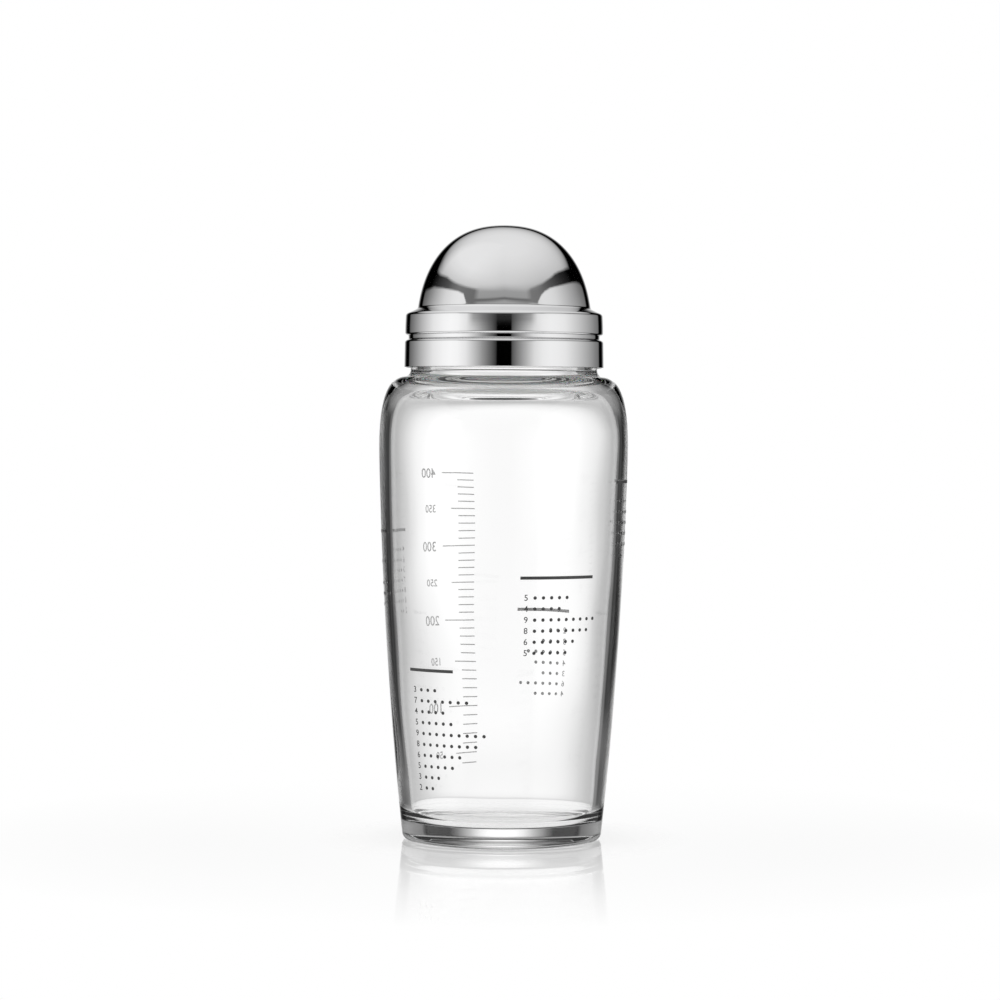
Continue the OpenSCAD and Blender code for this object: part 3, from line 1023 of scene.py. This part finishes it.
@dataclass
class Cap:
    """The cap: a domed steel shell with a folded hem, its moulded liner and the stopper."""

    closure: Closure
    drop: float = 6.2
    corner_rise: float = 0.75
    corner_round: float = 1.2
    foot_rise: float = 2.6
    foot_round: float = 1.2
    hem_r: float = 31.33
    hem_h: float = 4.4
    hem_in_round: float = 0.3
    hem_out_round: float = 0.86
    band_r: float = 32.36
    lean: float = 0.2
    lean_h: float = 4
    lean_round: float = 60
    dome_r: float = 28.8
    dome_drop: float = 6.95
    dome_rise: float = 36.8
    dome_power: float = 2.34
    liner_t: float = 1.1
    bell_taper: float = 5.4
    bell_round: float = 2
    ring_h: float = 1.6
    stopper_t: float = 1.8
    plug_h: float = 3
    plug_wall: float = 1.7
    plug_gap: float = 0.2
    stem_r: float = 4.1
    stem_gap: float = 0.1
    head_w: float = 1.4
    head_h: float = 1.6
    spout_r: float = 12
    spout_wall: float = 1.5
    lip_w: float = 1.8

    def dome_radius(self, rise: float) -> float:
        """The dome's radius at a height over the seat."""
        return self.dome_r * (1 - ((rise + self.dome_drop) / self.dome_rise) ** self.dome_power) ** (1 / self.dome_power)

    def dome(self, steps: int = 64) -> list[Corner]:
        """The dome's curve from its foot to its top."""
        start = math.asin(((self.foot_rise + self.dome_drop) / self.dome_rise) ** (self.dome_power / 2))
        centre_z = self.closure.seat_z - self.dome_drop
        drawn = []
        for i in range(steps + 1):
            turn = start + (math.pi / 2 - start) * i / steps
            r = self.dome_r * math.cos(turn) ** (2 / self.dome_power) if i < steps else 0.0
            drawn.append(Corner(r, centre_z + self.dome_rise * math.sin(turn) ** (2 / self.dome_power)))
        return drawn

    def shell(self) -> bpy.types.Object:
        """The drawn steel: the hem that slides on the spigot, the band, the sloping shoulder and the dome."""
        c = self.closure
        hem_z, corner_z = c.seat_z - self.drop, c.seat_z + self.corner_rise
        hem_top_z, lean_z = hem_z + self.hem_h, corner_z - self.lean_h
        hem_top_r = self.band_r - self.lean * (hem_top_z - lean_z) / self.lean_h
        dome = self.dome()
        top = [Corner(self.band_r - self.lean, corner_z, self.corner_round),
               Corner(dome[0].r, dome[0].z, self.foot_round),
               *[q for q in dome if q.z > dome[0].z + self.foot_round * 0.6]]
        hem = [Corner(self.hem_r, hem_top_z, 0.2), Corner(self.hem_r, hem_z, self.hem_in_round),
               Corner(self.band_r, hem_z, self.hem_out_round), Corner(self.band_r, lean_z, self.lean_round)]
        inside = inner_face([Corner(hem_top_r, hem_top_z), *top], c.sheet_t)
        return smooth(turned("cap_shell_drawn", rounded(hem + top + inside[::-1])))

    def liner(self) -> bpy.types.Object:
        """The bell that lands on the collar, centres itself in the dome's foot and carries the stopper."""
        c = self.closure
        crown_z, bell_r = c.spout_top_z + self.stopper_t, c.deck_hole_r
        flange_z, crown_r = c.seat_z + self.liner_t, bell_r - self.bell_taper
        slope = (self.foot_rise - self.corner_rise) / (self.band_r - self.lean - self.dome_radius(self.foot_rise))
        sheet_rise = c.sheet_t * math.hypot(1, slope) + c.seat_gap / 2
        out_r = self.dome_radius(self.foot_rise) + (self.foot_rise - self.liner_t - sheet_rise) / slope
        ring_z = c.seat_z + self.foot_rise + self.ring_h
        ring_r = self.dome_radius(self.foot_rise + self.ring_h) - c.sheet_t - c.seat_gap
        hole_r = self.stem_r + self.stem_gap
        return smooth(turned("cap_liner_moulding", rounded([
            Corner(bell_r, c.seat_z, c.edge), Corner(out_r, c.seat_z, c.edge), Corner(out_r, flange_z, c.edge),
            Corner(ring_r, flange_z, 0.1), Corner(ring_r, ring_z, c.edge), Corner(ring_r - self.liner_t, ring_z, c.edge),
            Corner(ring_r - self.liner_t, flange_z, c.edge), Corner(bell_r + self.liner_t, flange_z, c.edge),
            Corner(crown_r + self.liner_t, crown_z + self.liner_t, self.bell_round + self.liner_t),
            Corner(hole_r, crown_z + self.liner_t, 0.1), Corner(hole_r, crown_z, 0.1),
            Corner(crown_r, crown_z, self.bell_round),
        ]), 160))

    def stopper(self) -> bpy.types.Object:
        """The plug in the spout, the disc on its lip, and the stem with its head over the liner."""
        c = self.closure
        top_z, crown_z = c.spout_top_z, c.spout_top_z + self.stopper_t
        plug_r, disc_r = self.spout_r - self.spout_wall - self.plug_gap, self.spout_r + self.lip_w
        head_z = crown_z + self.liner_t
        return smooth(turned("cap_stopper_moulding", rounded([
            Corner(0, top_z), Corner(plug_r - self.plug_wall, top_z, c.edge),
            Corner(plug_r - self.plug_wall, top_z - self.plug_h, c.edge), Corner(plug_r, top_z - self.plug_h, 2 * c.edge),
            Corner(plug_r, top_z, 0.1), Corner(disc_r, top_z, c.edge), Corner(disc_r, crown_z, c.edge),
            Corner(self.stem_r, crown_z, 0.1), Corner(self.stem_r, head_z, 0.1),
            Corner(self.stem_r + self.head_w, head_z, c.edge),
            Corner(self.stem_r + self.head_w / 2, head_z + self.head_h, 2 * c.edge), Corner(0, head_z + self.head_h),
        ]), 128))

    def build(self) -> None:
        """Models the shell, the liner and the stopper and gives them their finishes."""
        dress(self.shell(), STEEL, Body.CAP, Slot.STEEL, "cap_shell")
        dress(self.liner(), PLASTIC, Body.CAP, Slot.PLASTIC, "cap_liner")
        dress(self.stopper(), SILICONE, Body.CAP, Slot.SILICONE, "cap_stopper")


# the studio


@dataclass(frozen=True)
class Table(Finish):
    """A white polished table: it mirrors the shaker less and less towards the front, and is plain white further off."""

    white: Grey = 0.97
    mirror: Stops = ((0.0, 0.46), (0.035, 0.46), (0.08, 0.29), (0.13, 0.13), (0.19, 0.0))
    bare: Stops = ((0.0, 0.0), (0.036, 0.1), (0.047, 0.6), (0.062, 1.0))
    edge: Stops = ((0.0, 0), (0.22, 0), (0.34, 1))
    grazing: Stops = ((0.0, 0.05), (0.5, 0.1), (0.8, 0.92), (1.0, 1.0))

    def build(self, shader: Shader) -> None:
        """Adds the finish's nodes."""
        place = shader.node("TexCoord").outputs["Object"]
        off = shader.node("VectorMath", {0: place}, operation="LENGTH").outputs["Value"]
        path = shader.node("LightPath")
        mirrored = shader.math("ADD", path.outputs["Is Glossy Ray"], path.outputs["Is Transmission Ray"], clamp=True)
        seen = shader.math("ADD", mirrored, path.outputs["Is Camera Ray"], clamp=True)
        glance = shader.ramp(shader.node("LayerWeight").outputs["Facing"], self.grazing)
        shine = shader.mix(mirrored, shader.ramp(off, self.mirror), glance)
        matt = shader.node("BsdfDiffuse", {"Color": (self.white,) * 3 + (1,)})
        white = shader.node("Emission", {"Color": (1, 1, 1, 1), "Strength": 1.0})
        bare = shader.math("MULTIPLY", seen, shader.ramp(off, self.bare))
        plain = shader.node("MixShader", {0: bare, 1: matt.outputs[0], 2: white.outputs[0]})
        nothing = shader.node("BsdfTransparent").outputs[0]
        gloss = shader.node("BsdfGlossy", {"Color": (1, 1, 1, 1), "Roughness": 0.03}).outputs[0]
        gloss = shader.node("MixShader", {0: path.outputs["Is Transmission Ray"], 1: gloss, 2: nothing}).outputs[0]
        lit = shader.node("MixShader", {0: shine, 1: plain.outputs[0], 2: gloss}).outputs[0]
        past = shader.math("MULTIPLY", mirrored, shader.ramp(off, self.edge))
        shader.surface(shader.node("MixShader", {0: past, 1: lit, 2: nothing}).outputs[0])


@dataclass(frozen=True)
class LightTent:
    """The soft boxes and dark gaps round the shaker, as its glass and steel mirror them.

    Directions are in degrees: round from the camera, up from the table, and off the line of sight behind the shaker.
    Levels are as the steel shows them.
    """

    steel: Grey = 0.86
    side_left: Stops = ((8, 0), (9, .03), (18, .16), (25, .29), (35, .54), (45, .78), (55, .90), (65, .93), (75, .89),
                        (90, .77), (105, .53), (120, .31), (130, .20), (140, .12), (145, .05), (150, 0))
    side_right: Stops = ((8, 0), (9, .08), (18, .26), (25, .42), (35, .69), (45, .81), (55, .85), (65, .83), (75, .78),
                         (90, .61), (105, .45), (120, .31), (130, .22), (140, .16), (145, .09), (150, 0))
    side_fade: Stops = ((6, 1), (14, .84))
    front: Stops = ((3, 0), (8, .05), (14, .16), (18, .30), (20.5, .34), (22.4, .13), (23, .13), (24.5, .30),
                    (29, .32), (31, .40), (33, .48), (36, .57), (39, .60), (51, .67), (61, .71), (73, .74), (93, .75))
    front_lean: float = 0.065
    front_edge_left: Stops = ((36, 0), (44, 1))
    front_edge_right: Stops = ((31, 0), (39, 1))
    front_edge_high: Stops = ((5, 0), (60, 1))
    gap_foot_left: Stops = ((40, 16.5), (53, 17.2), (60, 23.3), (70, 24.2), (80, 23.7), (90, 22.8), (100, 21.6),
                            (110, 19.8), (120, 18), (130, 14.8), (140, 12), (150, 9), (180, 9))
    gap_foot_right: Stops = ((34, 19), (46, 18), (53, 23), (60, 25.5), (70, 26.8), (80, 26.5), (90, 25.6), (100, 24.4),
                             (110, 22.8), (120, 20.7), (130, 18), (140, 14.5), (150, 9), (180, 9))
    gap_top_left: Stops = ((40, 29), (100, 29.3), (110, 27.6), (120, 25.6), (130, 24), (140, 26), (150, 28), (180, 28.5))
    gap_top_right: Stops = ((34, 28.5), (40, 30), (50, 31.3), (60, 32), (70, 33.5), (90, 35), (100, 34), (110, 32),
                            (120, 29.7), (130, 26.5), (140, 27.3), (150, 28.8), (180, 29.5))
    gap_left: Stops = ((40, .14), (70, .165), (80, .13), (90, .075), (100, .05), (110, .03), (120, .01), (130, 0))
    gap_right: Stops = ((34, .18), (50, .16), (60, .12), (70, .085), (80, .06), (90, .035), (100, .018), (120, 0))
    ceiling_left: Stops = ((28, .50), (32, .60), (38, .70), (46, .77), (60, .78), (90, .76))
    ceiling_right: Stops = ((28, .34), (32, .43), (35, .50), (38, .54), (46, .61), (55, .67), (70, .73), (90, .75))
    ceiling_back: Stops = ((24, 0), (26, .04), (28, .13), (30, .26), (32, .35), (35, .43), (38, .50), (42, .56),
                           (46, .62), (52, .67), (62, .72), (90, .75))
    back_edge: Stops = ((115, 0), (138, 1))
    back_panel: Stops = ((0, 1), (5, 1), (8, .85), (12, .58), (14, .46), (16.4, .36), (18.8, .23), (20.6, .13),
                         (22.3, .05), (24, .015), (27, 0))
    back_panel_in_glass: Stops = ((0, 1), (5, 1), (8, .85), (12, .5), (18, .14), (21, .03), (34, .03), (37, 0))
    back_level: Grey = 1.06
    glow_in_glass: Stops = ((8, 0), (11, .08), (15, .22), (20, .32), (26, .38))
    through_bottle: Stops = ((0, 1.04), (5, 1.04), (8, .9), (12, .62), (16, .5), (24, .54), (34, .78), (48, .9),
                             (180, .97))
    table_through_bottle: Stops = ((8, 0), (12, .93))

    def strength(self, shader: Shader) -> bpy.types.NodeSocket:
        """Adds the nodes that give the light's strength in each direction.

        Args:
            shader: The nodes of the world.

        Returns:
            The strength.
        """
        way = shader.node("SeparateXYZ", {0: shader.node("TexCoord").outputs["Generated"]})
        x, y, z = way.outputs
        degrees = 180 / math.pi
        turn = shader.math("MULTIPLY", shader.math("ARCTAN2", x, shader.math("MULTIPLY", y, -1)), degrees)
        up = shader.math("MULTIPLY", shader.math("ARCSINE", shader.math("ABSOLUTE", z)), degrees)
        off_back = shader.math("MULTIPLY", shader.math("ARCCOSINE", y), degrees)
        away, right = shader.math("ABSOLUTE", turn), shader.math("GREATER_THAN", turn, 0.0)
        path = shader.node("LightPath")
        in_glass = path.outputs["Is Transmission Ray"]

        def sided(value: bpy.types.NodeSocket, left_stops: Stops, right_stops: Stops) -> bpy.types.NodeSocket:
            """A curve that differs between the left and the right."""
            return shader.mix(right, shader.ramp(value, left_stops), shader.ramp(value, right_stops))

        boxes = shader.math("MULTIPLY", sided(away, self.side_left, self.side_right), shader.ramp(up, self.side_fade))
        over_foot = shader.math("SUBTRACT", up, sided(away, self.gap_foot_left, self.gap_foot_right))
        gap = shader.mix(shader.ramp(over_foot, ((-0.8, 0), (0.8, 1))), boxes, sided(away, self.gap_left, self.gap_right))
        ceiling = shader.mix(shader.ramp(away, self.back_edge), sided(up, self.ceiling_left, self.ceiling_right),
                             shader.ramp(up, self.ceiling_back))
        over_top = shader.math("SUBTRACT", up, sided(away, self.gap_top_left, self.gap_top_right))
        side = shader.mix(shader.ramp(over_top, ((-1.2, 0), (1.2, 1))), gap, ceiling)
        leant = shader.math("ADD", up, shader.math("MULTIPLY", away, self.front_lean))
        front = shader.mix(shader.ramp(up, ((3, 0), (12, 1))), boxes, shader.ramp(leant, self.front))
        edge = shader.mix(shader.ramp(up, ((27, 0), (33, 1))), sided(away, self.front_edge_left, self.front_edge_right),
                          shader.ramp(away, self.front_edge_high))
        room = shader.math("MULTIPLY", shader.mix(edge, front, side), 1 / self.steel)
        panel = shader.mix(in_glass, shader.ramp(off_back, self.back_panel),
                           shader.ramp(off_back, self.back_panel_in_glass))
        beside = shader.math("MAXIMUM", shader.ramp(off_back, ((36, 0), (39.5, 1))), shader.ramp(up, ((23, 0), (26, 1))))
        level = shader.mix(beside, shader.math("MULTIPLY", panel, self.back_level), room)
        glow = shader.math("MULTIPLY", in_glass, shader.ramp(up, self.glow_in_glass))
        table = shader.math("MULTIPLY", shader.math("LESS_THAN", z, 0.0), shader.ramp(up, self.table_through_bottle))
        clear = shader.math("MAXIMUM", shader.ramp(off_back, self.through_bottle), table)
        both_walls = shader.math("GREATER_THAN", path.outputs["Transmission Depth"], 3.5)
        return shader.mix(shader.math("MULTIPLY", in_glass, both_walls), shader.math("MAXIMUM", level, glow), clear)


@dataclass
class Studio:
    """The table, the soft light round it and the camera."""

    floor_r: float = 6.0
    soft: Grey = 0.72
    tent: LightTent = LightTent()

    def world(self) -> None:
        """Lights the scene evenly, and gives glass and steel their light tent to mirror."""
        world = bpy.data.worlds.new("studio")
        world.use_nodes = True
        bpy.context.scene.world = world
        shader = Shader(world.node_tree)
        path = shader.node("LightPath")
        mirrors = shader.math("ADD", path.outputs["Is Glossy Ray"], path.outputs["Is Transmission Ray"], clamp=True)
        level = shader.mix(mirrors, self.soft, self.tent.strength(shader))
        level = shader.mix(path.outputs["Is Camera Ray"], level, 1.0)
        shader.surface(shader.node("Background", {"Color": (1, 1, 1, 1), "Strength": level}).outputs[0])

    def lamp(self, name: str, place: Sequence[float], size: float, watts: float) -> None:
        """Adds a soft box that faces the shaker.

        Args:
            name: The lamp's name.
            place: Where it hangs, in metres.
            size: The length of its sides.
            watts: Its power.
        """
        light = bpy.data.lights.new(name, "AREA")
        light.shape, light.size, light.energy = "SQUARE", size, watts
        lamp = bpy.data.objects.new(name, light)
        bpy.context.scene.collection.objects.link(lamp)
        lamp.location = place
        lamp.rotation_euler = (Vector(place) - Vector((0, 0, 0.1))).to_track_quat("Z", "Y").to_euler()
        lamp.visible_glossy = lamp.visible_transmission = lamp.visible_camera = False

    def floor(self) -> None:
        """Lays the table."""
        deselect()
        bpy.ops.mesh.primitive_circle_add(vertices=96, radius=self.floor_r, fill_type="NGON", location=(0, 0, 0))
        table = name_it(bpy.context.object, "table")
        press(table, lambda point: point - Vector((0, 0, 0.05)))
        table.data.materials.append(Table("white_table").material())

    def camera(self) -> None:
        """Sets the camera level with the bottle's shoulder."""
        lens = bpy.data.cameras.new("camera")
        lens.sensor_width, lens.lens, lens.shift_y = 36, 117, -0.076
        lens.clip_start, lens.clip_end = 0.01, 50
        camera = bpy.data.objects.new("camera", lens)
        camera.location = (-0.0012, -1.0618, 0.13513)
        camera.rotation_euler = (math.pi / 2, math.radians(-0.3), 0)
        bpy.context.scene.collection.objects.link(camera)
        bpy.context.scene.camera = camera

    def build(self) -> None:
        """Sets up the floor, the light and the camera."""
        bpy.context.scene.view_settings.view_transform = "Standard"
        self.floor()
        self.world()
        self.lamp("left_soft_box", (-1.1, -0.5, 1.1), 1.0, 8)
        self.lamp("right_soft_box", (1.2, -0.3, 1.0), 1.0, 6)
        self.camera()
        LOG.info("studio set up")


CHARTS = (
    Chart(-52, 18, 17, (3, 7, 4, 5, 9, 8, 6, 5, 3, 2)),
    Chart(8, 62, 26, (5, 4, 9, 8, 6, 5)),
    Chart(64, 92, 20, (3, 6, 8, 7, 5, 2)),
    Chart(141, 44, 20, (2, 3, 5, 4, 3, 6, 4)),
    Chart(246, 72, 21, (4, 6, 3, 7, 8, 6, 2)),
)


def main() -> None:
    """Builds the shaker and the studio in order."""
    logging.basicConfig(level=logging.INFO, format="%(name)s: %(message)s")
    bottle = GlassBottle()
    bottle.build()
    Graduation(bottle).build()
    for number, chart in enumerate(CHARTS, 1):
        chart.build(bottle, f"mixing_chart_print_{number}")
    closure = Closure()
    for part in (Pourer(closure), Collar(closure), Cap(closure)):
        part.build()
    Studio().build()


if __name__ == "__main__":
    main()
